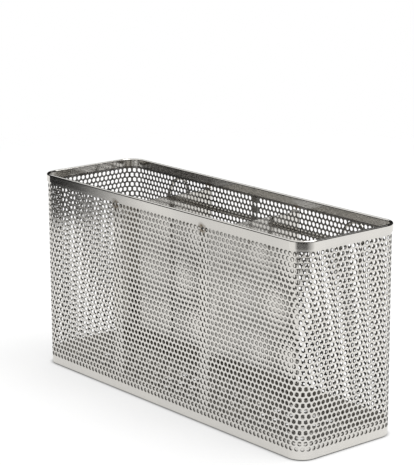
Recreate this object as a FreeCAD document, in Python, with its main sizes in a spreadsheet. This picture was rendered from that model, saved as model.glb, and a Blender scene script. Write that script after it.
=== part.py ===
"""Three-compartment chopstick holder: a perforated stainless sheet wrapped into a rounded box.

Frame: millimetres, +Z up, the long side along X, the front on -Y and the hanging loops on +Y.
The origin is on the table, under the middle of the box.
"""
import FreeCAD, Part
import Sketcher
import math
import os

Vector = FreeCAD.Vector

SIZES = (
    ("overall_length", 245.0, "over the rim band, along X"),
    ("overall_width", 75.0, "over the rim band, along Y"),
    ("overall_height", 125.0, "table to the top of the rim"),
    ("corner_radius", 10.0, "outside of the wall, in plan"),
    ("seat_gap", 0.1, "clearance between nested sheets"),
    ("wall_gauge", 0.5, "perforated sheet"),
    ("foot_reveal", 0.6, "wall's lower edge above the table"),
    ("foot_border", 4.8, "plain sheet below the lowest holes"),
    ("rim_border", 1.4, "plain sheet between the rim and the highest holes"),
    ("hole_diameter", 2.65, "perforation"),
    ("hole_pitch", 3.35, "hole to hole along a row, before rows are fitted to the box's girth"),
    ("row_spacing", 3.16, "row to row, alternate rows staggered by half a pitch"),
    ("end_margin", 1.8, "sheet end to the centre of the first hole"),
    ("lap_width", 4.0, "overlap of the sheet's ends"),
    ("lap_gap", 0.1, "clearance between the lapped layers"),
    ("joggle_length", 1.0, "slope that takes the inner layer behind the outer one"),
    ("joggle_gap", 0.3, "outer layer's end to the start of the slope"),
    ("rim_gauge", 0.6, "folded band"),
    ("rim_leg", 4.8, "height of the band"),
    ("rim_fold", 0.9, "outside radius of the fold"),
    ("rim_butt", 0.3, "gap between the band's ends"),
    ("base_gauge", 0.8, "bottom tray"),
    ("base_flange", 10.0, "height of the tray's flange"),
    ("base_bend", 1.5, "outside radius under the flange"),
    ("drain_diameter", 5.0, "holes in the tray"),
    ("drain_pitch", 11.0, "hole to hole, both ways"),
    ("drain_margin", 12.0, "tray edge to the nearest hole centre, at least"),
    ("divider_gauge", 0.8, "polished plates"),
    ("divider_spacing", 81.6, "plate to plate, the middle compartment"),
    ("divider_drop", 7.7, "rim's top to the plate's top"),
    ("divider_flange", 7.0, "strip bent over for welding"),
    ("divider_bend", 1.4, "outside radius of that bend"),
    ("loop_wire", 2.0, "hanging loop, wire diameter"),
    ("loop_spacing", 161.0, "loop to loop"),
    ("loop_radius", 9.0, "arch, to the middle of the wire"),
    ("loop_drop", 8.8, "rim's top to the arch's top, middle of the wire"),
    ("loop_leg", 14.0, "leaning leg below the arch"),
    ("loop_lean", 6.0, "how far the arch stands behind the weld run"),
    ("loop_weld", 9.0, "wire lying on the wall"),
    ("loop_bend", 4.0, "radius where the leg leaves the wall, middle of the wire"),
    ("bar_wire", 2.8, "bar between the loops, wire diameter"),
    ("bar_drop", 21.0, "rim's top to the middle of the bar"),
)

# Lengths that several pieces share, written with the sheet's cells.
RIM_STEP = "(Sizes.rim_gauge + Sizes.seat_gap)"
WALL_LENGTH = f"(Sizes.overall_length - 2 * {RIM_STEP})"
WALL_WIDTH = f"(Sizes.overall_width - 2 * {RIM_STEP})"
WALL_TOP = f"(Sizes.overall_height - {RIM_STEP})"
INSET = "(Sizes.wall_gauge + Sizes.seat_gap)"

# Two places closer than this, in millimetres, are the same place.
SAME_PLACE = 1e-4

doc = FreeCAD.newDocument("ChopstickHolder")
sheet = doc.addObject("Spreadsheet::Sheet", "Sizes")
for row, (alias, value, note) in enumerate(SIZES, start=1):
    sheet.set(f"A{row}", note)
    sheet.set(f"B{row}", str(value))
    sheet.setAlias(f"B{row}", alias)
doc.recompute()


def evaluate(expression):
    """Value of an expression over the sheet's cells."""
    return float(sheet.evalExpression(expression))


def size(alias):
    """Value of one cell of the sheet."""
    return float(sheet.get(alias))


def new_body(name):
    body = doc.addObject("PartDesign::Body", name)
    body.Label = name
    return body


def new_sketch(body, name, role, offset=None):
    """Sketch on one of the body's origin planes, moved along the plane's normal by an expression."""
    plane = next(feature for feature in body.Origin.OriginFeatures if feature.Role == role)
    sketch = body.newObject("Sketcher::SketchObject", name)
    sketch.AttachmentSupport = (plane, [""])
    sketch.MapMode = "FlatFace"
    if offset:
        sketch.setExpression("AttachmentOffset.Base.z", offset)
    return sketch


def drive(sketch, constraint, expression):
    """Add a dimension and bind it to an expression."""
    index = sketch.addConstraint(constraint)
    sketch.setExpression(f"Constraints[{index}]", expression)


def add_rounded_rectangle(sketch, length, width, radius):
    """Rectangle with round corners, centred on the sketch's origin; sizes are expressions."""
    corner = evaluate(radius)
    run_x = evaluate(length) / 2 - corner
    run_y = evaluate(width) / 2 - corner
    centres = ((run_x, run_y), (-run_x, run_y), (-run_x, -run_y), (run_x, -run_y))
    arcs = []
    for quarter, (x, y) in enumerate(centres):
        circle = Part.Circle(Vector(x, y), Vector(0, 0, 1), corner)
        start = quarter * math.pi / 2
        arcs.append(sketch.addGeometry(Part.ArcOfCircle(circle, start, start + math.pi / 2)))
    for here, after in zip(arcs, arcs[1:] + arcs[:1]):
        ends = sketch.getPoint(here, 2), sketch.getPoint(after, 1)
        line = sketch.addGeometry(Part.LineSegment(*ends))
        sketch.addConstraint(Sketcher.Constraint("Tangent", here, 2, line, 1))
        sketch.addConstraint(Sketcher.Constraint("Tangent", line, 2, after, 1))
        upright = arcs.index(here) % 2
        sketch.addConstraint(Sketcher.Constraint("Vertical" if upright else "Horizontal", line))
    for other in arcs[1:]:
        sketch.addConstraint(Sketcher.Constraint("Equal", arcs[0], other))
    sketch.addConstraint(Sketcher.Constraint("Symmetric", arcs[0], 3, arcs[2], 3, -1, 1))
    drive(sketch, Sketcher.Constraint("Radius", arcs[0], corner), radius)
    across = Sketcher.Constraint("DistanceX", arcs[1], 3, arcs[0], 3, 2 * run_x)
    drive(sketch, across, f"{length} - 2 * {radius}")
    along = Sketcher.Constraint("DistanceY", arcs[3], 3, arcs[0], 3, 2 * run_y)
    drive(sketch, along, f"{width} - 2 * {radius}")


def add_polygon(sketch, corners):
    """Closed polygon whose corners are pairs of expressions."""
    points = [Vector(evaluate(x), evaluate(y)) for x, y in corners]
    lines = []
    for start, end in zip(points, points[1:] + points[:1]):
        lines.append(sketch.addGeometry(Part.LineSegment(start, end)))
    for line, after in zip(lines, lines[1:] + lines[:1]):
        sketch.addConstraint(Sketcher.Constraint("Coincident", line, 2, after, 1))
    for line, point, (x, y) in zip(lines, points, corners):
        drive(sketch, Sketcher.Constraint("DistanceX", -1, 1, line, 1, point.x), x)
        drive(sketch, Sketcher.Constraint("DistanceY", -1, 1, line, 1, point.y), y)


def pad(body, name, sketch, length):
    feature = body.newObject("PartDesign::Pad", name)
    feature.Profile = sketch
    feature.setExpression("Length", length)
    doc.recompute()
    return feature


def pocket(body, name, sketch, length=None, upwards=False):
    """Cut a sketch out of the body: to a depth, or right through both ways if no depth is given."""
    before = body.Shape.Volume
    feature = body.newObject("PartDesign::Pocket", name)
    feature.Profile = sketch
    feature.Reversed = upwards
    if length:
        feature.setExpression("Length", length)
    else:
        feature.Type = "ThroughAll"
        feature.SideType = "Symmetric"
    doc.recompute()
    if not body.Shape.Volume < before:
        raise RuntimeError(f"{name} cuts nothing")
    return feature


def fillet(body, name, radius, wanted):
    """Round the edges of the body's tip that the function wanted picks."""
    tip = body.Tip
    names = [f"Edge{i}" for i, edge in enumerate(tip.Shape.Edges, start=1) if wanted(edge)]
    feature = body.newObject("PartDesign::Fillet", name)
    feature.Base = (tip, names)
    feature.setExpression("Radius", radius)
    doc.recompute()


def lies_at_height(height):
    """Test for edges that lie flat at one height."""
    def wanted(edge):
        box = edge.BoundBox
        return max(abs(box.ZMin - height), abs(box.ZMax - height)) < SAME_PLACE
    return wanted


# Perforated wrap


def corner_arc(centre, radius, start_degrees):
    """Quarter arc, anticlockwise, as an edge."""
    def point(degrees):
        angle = math.radians(start_degrees + degrees)
        return centre + Vector(math.cos(angle), math.sin(angle), 0) * radius
    return Part.Arc(point(0), point(45), point(90)).toShape()


def chain(points):
    """Straight edges through a list of points."""
    return [Part.LineSegment(a, b).toShape() for a, b in zip(points, points[1:])]


class Wrap:
    """The wall sheet in plan: it starts at the seam, runs round the box and ends behind its start."""

    def __init__(self):
        self.gauge = size("wall_gauge")
        self.radius = size("corner_radius")
        self.half_x = evaluate(WALL_LENGTH) / 2
        self.half_y = evaluate(WALL_WIDTH) / 2
        self.start_x = size("lap_width") / 2
        self.slope_low = self.start_x + size("joggle_gap")
        self.slope_high = self.slope_low + size("joggle_length")
        self.end_x = -size("lap_width") / 2
        self.lap_step = self.gauge + size("lap_gap")

    def corner_centres(self):
        """Centres of the corners in the order in which the sheet meets them, with start angles."""
        x = self.half_x - self.radius
        y = self.half_y - self.radius
        return (
            (Vector(-x, y, 0), 90), (Vector(-x, -y, 0), 180),
            (Vector(x, -y, 0), 270), (Vector(x, y, 0), 0))

    def side(self, depth, lapped):
        """Edges of the sheet's face that lies the given depth below its outside, start to end."""
        y = self.half_y - depth
        arcs = [corner_arc(c, self.radius - depth, a) for c, a in self.corner_centres()]
        edges = []
        here = Vector(self.start_x, y, 0)
        for arc in arcs:
            edges += chain([here, arc.Vertexes[0].Point])
            edges.append(arc)
            here = arc.Vertexes[-1].Point
        if lapped:
            behind = y - self.lap_step
            corners = ((self.slope_high, y), (self.slope_low, behind), (self.end_x, behind))
        else:
            corners = ((self.slope_low, y),)
        return edges + chain([here] + [Vector(cx, cy, 0) for cx, cy in corners])

    def face(self, lapped):
        """Section of the sheet in plan, with its ends lapped or only butted."""
        outside = self.side(0, lapped)
        inside = self.side(self.gauge, lapped)
        first = chain([inside[0].Vertexes[0].Point, outside[0].Vertexes[0].Point])
        last = chain([outside[-1].Vertexes[-1].Point, inside[-1].Vertexes[-1].Point])
        return Part.Face(Part.Wire(Part.__sortEdges__(outside + last + inside + first)))

    def runs(self):
        """Straight and round stretches of the sheet's middle: length, and a point finder."""
        x = self.half_x - self.radius
        y = self.half_y - self.radius
        middle = self.radius - self.gauge / 2
        quarter = middle * math.pi / 2

        def straight(start, heading, normal):
            return lambda s: (start + heading * s, normal)

        def bend(centre, start_degrees):
            def find(s):
                angle = math.radians(start_degrees) + s / middle
                normal = Vector(math.cos(angle), math.sin(angle), 0)
                return centre + normal * middle, normal
            return find

        left, right, front, back = Vector(-1, 0, 0), Vector(1, 0, 0), Vector(0, -1, 0), Vector(0, 1, 0)
        mid_x = self.half_x - self.gauge / 2
        mid_y = self.half_y - self.gauge / 2
        bends = [(quarter, bend(*corner)) for corner in self.corner_centres()]
        return [
            (self.start_x + x, straight(Vector(self.start_x, mid_y, 0), left, back)), bends[0],
            (2 * y, straight(Vector(-mid_x, y, 0), front, left)), bends[1],
            (2 * x, straight(Vector(-x, -mid_y, 0), right, front)), bends[2],
            (2 * y, straight(Vector(mid_x, -y, 0), back, right)), bends[3],
            (x - self.end_x, straight(Vector(x, mid_y, 0), left, back)),
        ]

    def fitted_pitch(self):
        """Pitch at which each row closes on itself, so that holes line up where the ends lap."""
        girth = sum(length for length, find in self.runs()) - size("lap_width")
        return girth / round(girth / size("hole_pitch"))

    def hole_places(self, shift, lapped):
        """Centre, normal and depth of each hole of one row, which starts shift pitches along the sheet."""
        runs = self.runs()
        reach = size("hole_diameter") / 2
        margin = size("end_margin")
        pitch = self.fitted_pitch()
        total = sum(length for length, find in runs)
        last_x = (self.end_x if lapped else self.slope_low) + margin
        through = self.gauge + size("lap_gap")
        for index in range(int((total - margin) / pitch - shift) + 1):
            s = margin + (index + shift) * pitch
            stretch = 0
            while s > runs[stretch][0] and stretch < len(runs) - 1:
                s -= runs[stretch][0]
                stretch += 1
            centre, normal = runs[stretch][1](s)
            closing = stretch == len(runs) - 1
            if closing and centre.x < last_x:
                break
            depth = through
            if closing and lapped and centre.x < self.slope_high + reach:
                if centre.x > self.start_x + reach:
                    depth += self.lap_step
                    centre -= Vector(0, self.lap_step / 2, 0)
                elif centre.x > self.slope_low - reach:
                    continue
                else:
                    centre -= Vector(0, self.lap_step, 0)
            yield centre, normal, depth

    def band(self, bottom, height, lapped, shift=None):
        """Level slice of the wall; with a shift it has one row of holes at half height."""
        slice_ = self.face(lapped).extrude(Vector(0, 0, height))
        if shift is not None:
            radius = size("hole_diameter") / 2
            holes = []
            for centre, normal, depth in self.hole_places(shift, lapped):
                start = centre - normal * depth / 2 + Vector(0, 0, height / 2)
                holes.append(Part.makeCylinder(radius, depth, start, normal))
            slice_ = slice_.cut(holes)
        slice_.translate(Vector(0, 0, bottom))
        return slice_


def make_wall():
    """Stack plain and perforated slices into one sheet; it is lapped between the base and the rim."""
    wrap = Wrap()
    spacing = size("row_spacing")
    bottom = size("foot_reveal")
    top = evaluate(WALL_TOP)
    lowest = bottom + size("foot_border") + size("hole_diameter") / 2 - spacing / 2
    highest_hole = size("overall_height") - size("rim_leg") - size("rim_border")
    room = highest_hole - bottom - size("foot_border") - size("hole_diameter")
    rows = int(room / spacing) + 1
    butted_rows = math.ceil((size("base_flange") + size("seat_gap") - lowest) / spacing)
    patterns = {
        (lapped, parity): wrap.band(0, spacing, lapped, parity / 2)
        for lapped in (False, True) for parity in (0, 1)
    }
    slices = [wrap.band(bottom, lowest - bottom, False)]
    for row in range(rows):
        slice_ = patterns[row >= butted_rows, row % 2].copy()
        slice_.translate(Vector(0, 0, lowest + row * spacing))
        slices.append(slice_)
    upper = lowest + rows * spacing
    slices.append(wrap.band(upper, top - upper, False))
    wall = doc.addObject("Part::Feature", "wall_wrap")
    wall.Label = "wall_wrap"
    wall.Shape = slices[0].multiFuse(slices[1:]).Solids[0]
    print("perforated rows", rows, "of which only butted", butted_rows)
    return wall


def make_rim():
    """Band folded over the wall's top edge, with its ends butted at the middle of the back."""
    body = new_body("rim_band")
    start = "Sizes.overall_height - Sizes.rim_leg"
    ring = new_sketch(body, "RimOutline", "XY_Plane", start)
    add_rounded_rectangle(
        ring, "Sizes.overall_length", "Sizes.overall_width", f"(Sizes.corner_radius + {RIM_STEP})")
    inset = f"2 * ({INSET} + Sizes.rim_gauge)"
    add_rounded_rectangle(
        ring, f"({WALL_LENGTH} - {inset})", f"({WALL_WIDTH} - {inset})",
        f"(Sizes.corner_radius - {INSET} - Sizes.rim_gauge)")
    pad(body, "RimStrip", ring, "Sizes.rim_leg")
    fold = lies_at_height(size("overall_height"))
    fillet(body, "RimFold", "Sizes.rim_fold", fold)
    slot = new_sketch(body, "RimSlotOutline", "XY_Plane", start)
    add_rounded_rectangle(
        slot, f"({WALL_LENGTH} + 2 * Sizes.seat_gap)", f"({WALL_WIDTH} + 2 * Sizes.seat_gap)",
        "(Sizes.corner_radius + Sizes.seat_gap)")
    add_rounded_rectangle(
        slot, f"({WALL_LENGTH} - 2 * {INSET})", f"({WALL_WIDTH} - 2 * {INSET})",
        f"(Sizes.corner_radius - {INSET})")
    pocket(body, "RimSlot", slot, "Sizes.rim_leg - Sizes.rim_gauge", upwards=True)
    joint = new_sketch(body, "RimButtOutline", "XY_Plane", start)
    inner_edge = "Sizes.overall_width / 2 - Sizes.corner_radius"
    outer_edge = "Sizes.overall_width / 2 + Sizes.rim_leg"
    half = "Sizes.rim_butt / 2"
    add_polygon(joint, (
        (f"-{half}", inner_edge), (half, inner_edge), (half, outer_edge), (f"-{half}", outer_edge)))
    pocket(body, "RimButt", joint)
    return body


def make_base():
    """Drained tray that carries the wall; its flange stands inside the wall."""
    body = new_body("base_pan")
    length = f"({WALL_LENGTH} - 2 * {INSET})"
    width = f"({WALL_WIDTH} - 2 * {INSET})"
    radius = f"(Sizes.corner_radius - {INSET})"
    outline = new_sketch(body, "BaseOutline", "XY_Plane")
    add_rounded_rectangle(outline, length, width, radius)
    pad(body, "BaseBlock", outline, "Sizes.base_flange")
    fillet(body, "BaseBend", "Sizes.base_bend", lies_at_height(0))
    hollow = new_sketch(body, "BaseHollowOutline", "XY_Plane", "Sizes.base_gauge")
    skin = "Sizes.base_gauge"
    add_rounded_rectangle(
        hollow, f"({length} - 2 * {skin})", f"({width} - 2 * {skin})", f"({radius} - {skin})")
    pocket(body, "BaseHollow", hollow, "Sizes.base_flange - Sizes.base_gauge", upwards=True)
    fillet(body, "BaseInnerBend", "Sizes.base_bend - Sizes.base_gauge", lies_at_height(size("base_gauge")))
    add_drains(body, length, width)
    return body


def add_drains(body, length, width):
    """Square grid of drain holes, centred on the tray."""
    counts = []
    for extent in (length, width):
        counts.append(f"(floor(({extent} - 2 * Sizes.drain_margin) / Sizes.drain_pitch) + 1)")
    first = [f"-({count} - 1) * Sizes.drain_pitch / 2" for count in counts]
    sketch = new_sketch(body, "DrainOutline", "XY_Plane")
    x, y = (evaluate(place) for place in first)
    radius = size("drain_diameter") / 2
    circle = sketch.addGeometry(Part.Circle(Vector(x, y), Vector(0, 0, 1), radius))
    drive(sketch, Sketcher.Constraint("DistanceX", -1, 1, circle, 3, x), first[0])
    drive(sketch, Sketcher.Constraint("DistanceY", -1, 1, circle, 3, y), first[1])
    drive(sketch, Sketcher.Constraint("Radius", circle, radius), "Sizes.drain_diameter / 2")
    drain = pocket(body, "Drain", sketch)
    grid = body.newObject("PartDesign::LinearPattern", "DrainGrid")
    grid.Originals = [drain]
    grid.Direction = (sketch, ["H_Axis"])
    grid.Direction2 = (sketch, ["V_Axis"])
    for suffix, count in zip(("", "2"), counts):
        setattr(grid, "Mode" + suffix, "Spacing")
        grid.setExpression("Offset" + suffix, "Sizes.drain_pitch")
        grid.setExpression("Occurrences" + suffix, count)
    doc.recompute()
    for suffix in ("", "2"):
        setattr(grid, "Spacings" + suffix, [])
    body.Tip = grid
    doc.recompute()


def make_divider(name, place):
    """Plate from the front wall to the back wall, with a weld flange bent over at each end."""
    body = new_body(name)
    reach = f"({WALL_WIDTH} / 2 - {INSET})"
    skin = "Sizes.divider_gauge"
    floor = "(Sizes.base_gauge + Sizes.seat_gap)"
    half = f"{skin} / 2"
    tab = f"({half} - Sizes.divider_flange)"
    section = new_sketch(body, name + "_section", "XY_Plane", floor)
    add_polygon(section, (
        (half, f"-{reach}"), (half, reach), (tab, reach), (tab, f"({reach} - {skin})"),
        (f"-{half}", f"({reach} - {skin})"), (f"-{half}", f"({skin} - {reach})"),
        (tab, f"({skin} - {reach})"), (tab, f"-{reach}")))
    pad(body, name + "_plate", section, f"Sizes.overall_height - Sizes.divider_drop - {floor}")

    def bend_edge(x, y):
        """Test for the upright edges of one side of the bends."""
        def wanted(edge):
            box = edge.BoundBox
            upright = max(box.XLength, box.YLength) < SAME_PLACE
            return upright and max(abs(box.XMin - x), abs(abs(box.YMin) - y)) < SAME_PLACE
        return wanted

    outer = bend_edge(evaluate(half), evaluate(reach))
    fillet(body, name + "_bend", "Sizes.divider_bend", outer)
    inner = bend_edge(-evaluate(half), evaluate(f"{reach} - {skin}"))
    fillet(body, name + "_inner_bend", f"Sizes.divider_bend - {skin}", inner)
    notch = new_sketch(body, name + "_notch", "YZ_Plane")
    waist = f"({reach} - Sizes.base_gauge - Sizes.base_bend)"
    beyond = "Sizes.overall_width / 2"
    top = "(Sizes.base_flange + Sizes.seat_gap)"
    below = "-" + skin
    for sign in ("", "-"):
        near = sign + waist
        far = sign + beyond
        add_polygon(notch, ((near, below), (far, below), (far, top), (near, top)))
    pocket(body, name + "_feet", notch)
    body.setExpression("Placement.Base.x", place)
    return body


def make_loop(name, place):
    """Wire arch that leans back from the wall; both legs end in a run welded to the wall."""
    wire = size("loop_wire")
    radius = size("loop_radius")
    lean = math.atan2(size("loop_lean"), size("loop_leg") + radius)
    up = Vector(0, math.sin(lean), math.cos(lean))
    wall_y = evaluate(WALL_WIDTH) / 2 + size("seat_gap") + wire / 2
    arch_top = size("overall_height") - size("loop_drop")
    knee_z = arch_top - (size("loop_leg") + radius) * math.cos(lean)
    tangent = size("loop_bend") * math.tan(lean / 2)
    middle = Vector(0, wall_y, knee_z) + up * size("loop_leg")

    def leg(side):
        """Points from the foot of one leg to its end of the arch, and the bend between."""
        shift = Vector(side * radius, 0, 0)
        knee = Vector(0, wall_y, knee_z) + shift
        below = knee - Vector(0, 0, tangent)
        above = knee + up * tangent
        hub = below + Vector(0, size("loop_bend"), 0)
        half_way = hub + (knee - hub).normalize() * size("loop_bend")
        foot = Vector(0, wall_y, knee_z - size("loop_weld")) + shift
        return [
            Part.LineSegment(foot, below), Part.Arc(below, half_way, above),
            Part.LineSegment(above, middle + shift)]

    across = Vector(radius, 0, 0)
    arch = Part.Arc(middle - across, middle + up * radius, middle + across)
    edges = [part.toShape() for part in leg(-1) + [arch] + leg(1)]
    spine = doc.addObject("Part::Feature", name + "_path")
    spine.Shape = Part.Wire(Part.__sortEdges__(edges))
    ring = doc.addObject("Part::Circle", name + "_ring")
    ring.setExpression("Radius", "Sizes.loop_wire / 2")
    ring.Placement.Base = Vector(-radius, wall_y, knee_z - size("loop_weld"))
    loop = doc.addObject("Part::Sweep", name)
    loop.Label = name
    loop.Sections = [ring]
    loop.Spine = (spine, [f"Edge{i}" for i in range(1, len(edges) + 1)])
    loop.Solid = True
    loop.setExpression("Placement.Base.x", place)
    doc.recompute()
    length = sum(edge.Length for edge in edges)
    print(name, "volume", round(loop.Shape.Volume, 2), "wire", round(math.pi * wire ** 2 / 4 * length, 2))
    return loop


def make_bar():
    """Straight wire welded along the back of the wall, from one loop's inner leg to the other's."""
    half = "(Sizes.loop_spacing / 2 - Sizes.loop_radius - Sizes.loop_wire / 2 - Sizes.seat_gap)"
    bar = doc.addObject("Part::Cylinder", "hanging_bar")
    bar.Label = "hanging_bar"
    bar.Placement.Rotation = FreeCAD.Rotation(Vector(0, 1, 0), 90)
    bar.setExpression("Radius", "Sizes.bar_wire / 2")
    bar.setExpression("Height", f"2 * {half}")
    bar.setExpression("Placement.Base.x", f"-{half}")
    bar.setExpression("Placement.Base.y", f"{WALL_WIDTH} / 2 + Sizes.seat_gap + Sizes.bar_wire / 2")
    bar.setExpression("Placement.Base.z", "Sizes.overall_height - Sizes.bar_drop")
    doc.recompute()
    return bar


pieces = [
    make_wall(),
    make_rim(),
    make_base(),
    make_divider("divider_left", "-Sizes.divider_spacing / 2"),
    make_divider("divider_right", "Sizes.divider_spacing / 2"),
    make_loop("hanging_loop_left", "-Sizes.loop_spacing / 2"),
    make_loop("hanging_loop_right", "Sizes.loop_spacing / 2"),
    make_bar(),
]
doc.recompute()

for thing in doc.Objects:
    if "Invalid" in thing.State or "Error" in thing.State:
        raise RuntimeError(f"{thing.Label} failed: {thing.State}")
for piece in pieces:
    if piece.Shape.isNull() or not piece.Shape.isValid() or len(piece.Shape.Solids) != 1:
        raise RuntimeError(f"{piece.Label} is not one valid solid")

os.makedirs("parts", exist_ok=True)
for piece in pieces:
    piece.Shape.exportStep(f"parts/{piece.Label}.step")
    box = piece.Shape.BoundBox
    print(piece.Label, round(piece.Shape.Volume, 1), [round(v, 2) for v in (
        box.XMin, box.XMax, box.YMin, box.YMax, box.ZMin, box.ZMax)])
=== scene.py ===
"""Looks of the chopstick holder: satin and polished stainless steel on a white table in a dim studio."""
import bmesh
import bpy
import math
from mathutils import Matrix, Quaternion, Vector


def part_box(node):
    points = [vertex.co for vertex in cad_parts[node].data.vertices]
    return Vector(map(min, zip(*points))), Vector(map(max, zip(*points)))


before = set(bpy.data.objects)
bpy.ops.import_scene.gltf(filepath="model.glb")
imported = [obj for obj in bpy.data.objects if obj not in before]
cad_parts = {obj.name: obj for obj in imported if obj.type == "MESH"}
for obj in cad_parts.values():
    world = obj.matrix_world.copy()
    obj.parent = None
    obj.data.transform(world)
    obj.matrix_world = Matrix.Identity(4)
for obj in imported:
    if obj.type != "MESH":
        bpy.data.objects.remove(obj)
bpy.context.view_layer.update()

MM = 0.001

# Camera: the long lens's place round the holder, and the point that it looks at.
VIEW_AZIMUTH = math.radians(50.34)
VIEW_ELEVATION = math.radians(13.72)
VIEW_ROLL = math.radians(-0.24)
VIEW_DISTANCE = 1070 * MM
VIEW_TARGET = Vector((-1.96, -0.19, 101.9)) * MM
LENS_MM = 138.1
SENSOR_MM = 36

# Studio: a round white table, a dim surround with an open top, a softbox above and a plain fill.
WHITE = (1, 1, 1, 1)
BLACK_CLOTH = (0.03, 0.03, 0.03, 1)
ROUND_SEGMENTS = 96
TABLE_RADIUS = 850 * MM
TABLE_FADE = 40 * MM
TABLE_GLOW = 0.775
TABLE_PAPER = (0.36, 0.36, 0.358, 1)
SURROUND_RADIUS = 1100 * MM
SURROUND_BOTTOM = -900 * MM
SURROUND_TOP = 700 * MM
SOFTBOX_PLACE = Vector((450, 300, 1250)) * MM
SOFTBOX_AIM = Vector((0, 0, 60)) * MM
SOFTBOX_SIDE = 800 * MM
SOFTBOX_WATTS = 9
FILL_STRENGTH = 0.45

# Shade on the table: a thin dark line under the holder's foot, and a wide soft one around it.
NOOK_REACH = 2.5 * MM
SHADE_REACH = 130 * MM
SHADE_DEPTH = 0.16
SHADE_SAMPLES = 8

# Flags: name, centre of the arc in mm, its radius, bottom and top in mm, how much it hides, and four
# azimuths in degrees, where the flag begins to show, is full, begins to fade and is gone.
FLAGS = (
    ("dark_flag_left", Vector((-118, -37, 0)), 396, (0, 90), 1.0, (-66, -59, -51.9, -43.3)),
    ("dark_flag_front", Vector((112, -27, 0)), 436, (4, 60), 1.0, (-6, 12, 66, 118)),
    ("grey_flag_front", Vector((112, -37, 0)), 396, (0, 90), 0.14, (-65, -58, -49, -45)),
    ("dark_flag_back", Vector((0, 0, 0)), 1050, (640, 1450), 1.0, (140, 152, 205, 217)),
)
FLAG_STEP = 2

# The box's outside corner, in plan.
CORNER_RADIUS = 10 * MM

# Steel: reflectance in linear light.
WARM_STEEL = (0.70, 0.68, 0.64, 1)
COOL_STEEL = (0.66, 0.645, 0.615, 1)
# Painted shade: the inside of the perforated sheet is darker than the outside, standing in for the dark
# that it reflects.
INSIDE_PAINTED_SHADE_STEEL = (0.24, 0.233, 0.222, 1)
HEAT_TINT = (0.15, 0.115, 0.075, 1)

# Finish of each material slot: lumps of the grain per metre along each axis, smoothest and roughest
# polish, roughness that smudges add, and depth of the grain.
FINISHES = {
    "perforated_sheet": ((30, 30, 2200), (0.09, 0.15), 0.03, 0.008 * MM),
    "rim_steel": ((30, 30, 2200), (0.07, 0.12), 0.03, 0.003 * MM),
    "base_steel": ((30, 1800, 1800), (0.26, 0.36), 0.08, 0.01 * MM),
    "polished_plate": ((400, 60, 1500), (0.05, 0.075), 0.03, 0.0006 * MM),
    "wire_steel": ((900, 900, 300), (0.14, 0.24), 0.05, 0.006 * MM),
}

# Slots whose inside gets a darker colour as painted shade, and slots that show the spot welds.
PAINTED_SHADE_INSIDES = {"perforated_sheet": INSIDE_PAINTED_SHADE_STEEL}
WELDED = ("perforated_sheet", "rim_steel")

# Lumps per metre, along each axis, of the colour drift, the smudges and the heat marks.
DRIFT_LUMPS = (22, 22, 22)
SMUDGE_LUMPS = (60, 60, 60)
BLOTCH_LUMPS = (700, 700, 700)
GRAIN_STRENGTH = 0.35

# Spot welds: heat marks where the dividers' flanges meet the wall under the rim.
WELD_HEIGHT = 117.4 * MM
WELD_CORE = 1.8 * MM
WELD_REACH = 4.4 * MM
WELD_FAINTEST = 0.55

# Material slot of each CAD node.
SLOTS = {
    "wall_wrap": "perforated_sheet",
    "rim_band": "rim_steel",
    "base_pan": "base_steel",
    "divider_left": "polished_plate",
    "divider_right": "polished_plate",
    "hanging_loop_left": "wire_steel",
    "hanging_loop_right": "wire_steel",
    "hanging_bar": "wire_steel",
}


class Graph:
    """Short hand for the nodes of one material or world."""

    def __init__(self, owner):
        self.owner = owner
        owner.use_nodes = True
        self.tree = owner.node_tree
        self.tree.nodes.clear()

    def add(self, kind, **settings):
        """New node; settings are its properties, or sockets by name with underscores for spaces."""
        node = self.tree.nodes.new(kind)
        for key, value in settings.items():
            if hasattr(node, key):
                setattr(node, key, value)
            else:
                node.inputs[key.replace("_", " ")].default_value = value
        return node

    def link(self, source, target):
        self.tree.links.new(source, target)

    def position(self, scale=(1, 1, 1)):
        """Place on the object in metres, stretched by a scale along each axis."""
        place = self.add("ShaderNodeTexCoord")
        mapping = self.add("ShaderNodeMapping", Scale=scale)
        self.link(place.outputs["Object"], mapping.inputs["Vector"])
        return mapping.outputs["Vector"]

    def axes(self):
        """Place on the object in metres, as a node with an output for each axis."""
        place = self.add("ShaderNodeSeparateXYZ")
        self.link(self.position(), place.inputs[0])
        return place

    def noise(self, scale, detail=3, roughness=0.55):
        """Noise value whose scale is in lumps per metre along each axis."""
        node = self.add("ShaderNodeTexNoise", Scale=1, Detail=detail, Roughness=roughness)
        self.link(self.position(scale), node.inputs["Vector"])
        return node.outputs["Fac"]

    def remap(self, value, low, high, start=0.3, end=0.7):
        """Value stretched from the range start to end onto low to high."""
        node = self.add("ShaderNodeMapRange", From_Min=start, From_Max=end, To_Min=low, To_Max=high)
        self.link(value, node.inputs["Value"])
        return node.outputs["Result"]

    def math(self, operation, first, second):
        """Result of a sum; each side may be a number or a socket."""
        node = self.add("ShaderNodeMath", operation=operation)
        for socket, value in zip(node.inputs, (first, second)):
            if isinstance(value, (int, float)):
                socket.default_value = value
            else:
                self.link(value, socket)
        return node.outputs[0]

    def mix(self, factor, first, second):
        """Colour between two colours; each may be a colour or a socket."""
        node = self.add("ShaderNodeMix", data_type="RGBA")
        self.link(factor, node.inputs["Factor"])
        for socket, value in zip((node.inputs[6], node.inputs[7]), (first, second)):
            if isinstance(value, tuple):
                socket.default_value = value
            else:
                self.link(value, socket)
        return node.outputs[2]

    def fade(self, factor, first, second):
        """Shader between two shaders."""
        node = self.add("ShaderNodeMixShader")
        for socket, source in zip(node.inputs, (factor, first, second)):
            self.link(source, socket)
        return node.outputs[0]

    def finish(self, shader, output="ShaderNodeOutputMaterial"):
        self.link(shader, self.add(output).inputs["Surface"])
        return self.owner


def new_material(name):
    return Graph(bpy.data.materials.new(name))


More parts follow.
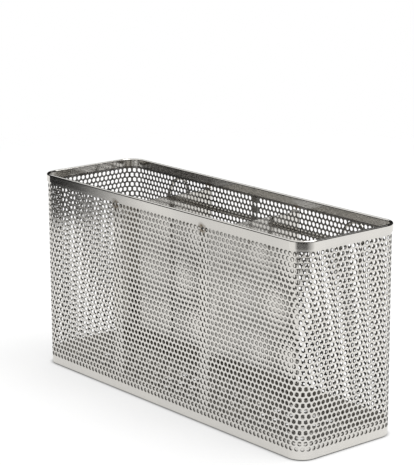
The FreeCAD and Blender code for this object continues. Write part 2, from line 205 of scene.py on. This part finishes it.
def faces_out(graph, corner_radius):
    """One on the outside of the rounded box, nought on its inside."""
    low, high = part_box("wall_wrap")
    core = (high - low) / 2 - Vector((corner_radius, corner_radius, 0))
    place = graph.axes()
    away = graph.add("ShaderNodeCombineXYZ")
    for axis in range(2):
        distance = graph.math("ABSOLUTE", place.outputs[axis], 0)
        beyond = graph.math("MAXIMUM", graph.math("SUBTRACT", distance, core[axis]), 0)
        signed = graph.math("MULTIPLY", beyond, graph.math("SIGN", place.outputs[axis], 0))
        graph.link(signed, away.inputs[axis])
    facing = graph.add("ShaderNodeVectorMath", operation="DOT_PRODUCT")
    graph.link(away.outputs[0], facing.inputs[0])
    graph.link(graph.add("ShaderNodeNewGeometry").outputs["Normal"], facing.inputs[1])
    return graph.math("GREATER_THAN", facing.outputs["Value"], 0)


def weld_marks(graph):
    """One at each spot weld of the dividers' flanges, front and back, fading to nought around it."""
    place = graph.axes()
    nearest = None
    for side in ("left", "right"):
        low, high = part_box(f"divider_{side}")
        offset = graph.math("SUBTRACT", place.outputs["X"], (low.x + high.x) / 2)
        aside = graph.math("ABSOLUTE", offset, 0)
        nearest = graph.math("MINIMUM", nearest, aside) if nearest else aside
    above = graph.math("SUBTRACT", place.outputs["Z"], WELD_HEIGHT)
    squares = graph.math("ADD", graph.math("POWER", nearest, 2), graph.math("POWER", above, 2))
    mark = graph.remap(graph.math("SQRT", squares, 0), 1, 0, WELD_CORE, WELD_REACH)
    blotch = graph.remap(graph.noise(BLOTCH_LUMPS, detail=2), WELD_FAINTEST, 1)
    return graph.math("MULTIPLY", mark, blotch)


def steel(name, grain_scale, roughness, smudge, grain_depth, inside, welded):
    """Stainless steel with drawn-out grain, uneven polish and faint colour drift; a given inside colour
    is painted shade.
    """
    graph = new_material(name)
    grain = graph.noise(grain_scale, detail=5, roughness=0.65)
    drift = graph.remap(graph.noise(DRIFT_LUMPS), 0, 1)
    base = graph.mix(drift, WARM_STEEL, COOL_STEEL)
    # Painted shade: the faces inside the box get the darker colour.
    if inside:
        base = graph.mix(faces_out(graph, CORNER_RADIUS), inside, base)
    if welded:
        base = graph.mix(weld_marks(graph), base, HEAT_TINT)
    polish = graph.remap(grain, *roughness)
    blur = graph.remap(graph.noise(SMUDGE_LUMPS, detail=4), 0, smudge)
    bump = graph.add("ShaderNodeBump", Strength=GRAIN_STRENGTH, Distance=grain_depth)
    graph.link(grain, bump.inputs["Height"])
    shader = graph.add("ShaderNodeBsdfPrincipled", Metallic=1)
    graph.link(base, shader.inputs["Base Color"])
    graph.link(graph.math("ADD", polish, blur), shader.inputs["Roughness"])
    graph.link(bump.outputs["Normal"], shader.inputs["Normal"])
    return graph.finish(shader.outputs["BSDF"])


def dress_all():
    """Make the steels and give each CAD node its own."""
    steels = {
        slot: steel(slot, *finish, inside=PAINTED_SHADE_INSIDES.get(slot), welded=slot in WELDED)
        for slot, finish in FINISHES.items()
    }
    for node, slot in SLOTS.items():
        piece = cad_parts[node]
        piece.data.materials.clear()
        piece.data.materials.append(steels[slot])


def seen_directly(graph):
    """One for rays from the camera and for mirrored or refracted rays, nought for scattered light."""
    path = graph.add("ShaderNodeLightPath")
    mirrored = graph.math("MAXIMUM", path.outputs["Is Glossy Ray"], path.outputs["Is Transmission Ray"])
    return graph.math("MAXIMUM", path.outputs["Is Camera Ray"], mirrored)


def new_object(name, mesh_maker, material):
    """Mesh object made by a function that fills a bmesh."""
    mesh = bpy.data.meshes.new(name)
    shape = bmesh.new()
    mesh_maker(shape)
    shape.to_mesh(mesh)
    shape.free()
    thing = bpy.data.objects.new(name, mesh)
    thing.data.materials.append(material)
    bpy.context.scene.collection.objects.link(thing)
    return thing


def show_in_reflections_only(thing):
    thing.visible_camera = False
    thing.visible_diffuse = False
    thing.visible_shadow = False


def table_material():
    """White paper that shows as white, keeps the shadow and fades out at its edge."""
    graph = new_material("white_table")
    paper = graph.add("ShaderNodeBsdfDiffuse", Color=TABLE_PAPER)
    glow = graph.add("ShaderNodeEmission", Color=WHITE)
    nook = graph.add("ShaderNodeAmbientOcclusion", samples=SHADE_SAMPLES, Distance=NOOK_REACH)
    around = graph.add("ShaderNodeAmbientOcclusion", samples=SHADE_SAMPLES, Distance=SHADE_REACH)
    shade = graph.remap(around.outputs["AO"], 1 - SHADE_DEPTH, 1, 0, 1)
    strength = graph.math("MULTIPLY", seen_directly(graph), TABLE_GLOW)
    dimmed = graph.math("MULTIPLY", nook.outputs["AO"], shade)
    graph.link(graph.math("MULTIPLY", strength, dimmed), glow.inputs["Strength"])
    lit = graph.add("ShaderNodeAddShader")
    graph.link(paper.outputs[0], lit.inputs[0])
    graph.link(glow.outputs[0], lit.inputs[1])
    reach = graph.add("ShaderNodeVectorMath", operation="LENGTH")
    graph.link(graph.position(), reach.inputs[0])
    edge = (TABLE_RADIUS - TABLE_FADE, TABLE_RADIUS + TABLE_FADE)
    gone = graph.remap(reach.outputs["Value"], 0, 1, *edge)
    clear = graph.add("ShaderNodeBsdfTransparent")
    return graph.finish(graph.fade(gone, lit.outputs[0], clear.outputs[0]))


def surround_material():
    graph = new_material("dim_surround")
    cloth = graph.add("ShaderNodeBsdfDiffuse", Color=BLACK_CLOTH)
    return graph.finish(cloth.outputs[0])


def flag_material():
    """Black cloth that thins out where its vertices say so."""
    graph = new_material("dark_flag")
    shown = graph.add("ShaderNodeAttribute", attribute_name="shown")
    cloth = graph.add("ShaderNodeBsdfDiffuse", Color=BLACK_CLOTH)
    clear = graph.add("ShaderNodeBsdfTransparent")
    return graph.finish(graph.fade(shown.outputs["Fac"], clear.outputs[0], cloth.outputs[0]))


def add_flag(name, centre, radius, heights, cover, azimuths, material):
    """Upright strip along an arc over the table; lengths are in mm."""
    begin, full, fade, gone = azimuths
    steps = round((gone - begin) / FLAG_STEP)

    def strip(shape):
        shown = shape.verts.layers.float.new("shown")
        columns = []
        for step in range(steps + 1):
            azimuth = begin + (gone - begin) * step / steps
            angle = math.radians(azimuth)
            foot = centre + radius * Vector((math.sin(angle), -math.cos(angle), 0))
            column = [shape.verts.new((foot + Vector((0, 0, height))) * MM) for height in heights]
            share = min((azimuth - begin) / (full - begin), (gone - azimuth) / (gone - fade), 1)
            for vertex in column:
                vertex[shown] = cover * share
            columns.append(column)
        for (low, high), (next_low, next_high) in zip(columns, columns[1:]):
            shape.faces.new((low, next_low, next_high, high))

    flag = new_object(name, strip, material)
    show_in_reflections_only(flag)


def make_stage():
    """Table, surround and flags; the last two show only in reflections."""
    def disc(shape):
        bmesh.ops.create_circle(
            shape, cap_ends=True, segments=ROUND_SEGMENTS, radius=TABLE_RADIUS + 2 * TABLE_FADE)

    def ring(shape):
        bmesh.ops.create_cone(
            shape, cap_ends=False, segments=ROUND_SEGMENTS, radius1=SURROUND_RADIUS,
            radius2=SURROUND_RADIUS, depth=SURROUND_TOP - SURROUND_BOTTOM)

    table = new_object("white_table", disc, table_material())
    surround = new_object("dim_surround", ring, surround_material())
    surround.location.z = (SURROUND_TOP + SURROUND_BOTTOM) / 2
    show_in_reflections_only(surround)
    cloth = flag_material()
    for flag in FLAGS:
        add_flag(*flag, cloth)


def make_world():
    """White where it is seen, a plain fill where it lights."""
    world = bpy.data.worlds.new("studio")
    bpy.context.scene.world = world
    graph = Graph(world)
    sky = graph.add("ShaderNodeBackground", Color=WHITE)
    level = graph.remap(seen_directly(graph), FILL_STRENGTH, 1, 0, 1)
    graph.link(level, sky.inputs["Strength"])
    graph.finish(sky.outputs[0], "ShaderNodeOutputWorld")


def add_softbox():
    """Square area lamp that faces the holder's middle."""
    lamp = bpy.data.lights.new("softbox_top", "AREA")
    lamp.shape = "RECTANGLE"
    lamp.size = SOFTBOX_SIDE
    lamp.size_y = SOFTBOX_SIDE
    lamp.energy = SOFTBOX_WATTS
    box = bpy.data.objects.new("softbox_top", lamp)
    box.location = SOFTBOX_PLACE
    box.rotation_euler = (SOFTBOX_AIM - SOFTBOX_PLACE).to_track_quat("-Z", "Y").to_euler()
    bpy.context.scene.collection.objects.link(box)


def add_camera():
    back = Vector((
        math.sin(VIEW_AZIMUTH) * math.cos(VIEW_ELEVATION),
        -math.cos(VIEW_AZIMUTH) * math.cos(VIEW_ELEVATION),
        math.sin(VIEW_ELEVATION)))
    data = bpy.data.cameras.new("camera")
    data.lens = LENS_MM
    data.sensor_width = SENSOR_MM
    camera = bpy.data.objects.new("camera", data)
    camera.location = VIEW_TARGET + back * VIEW_DISTANCE
    level = back.to_track_quat("Z", "Y")
    camera.rotation_euler = (level @ Quaternion((0, 0, 1), VIEW_ROLL)).to_euler()
    bpy.context.scene.collection.objects.link(camera)
    bpy.context.scene.camera = camera


dress_all()
make_stage()
make_world()
add_softbox()
add_camera()
bpy.context.scene.view_settings.view_transform = "Standard"
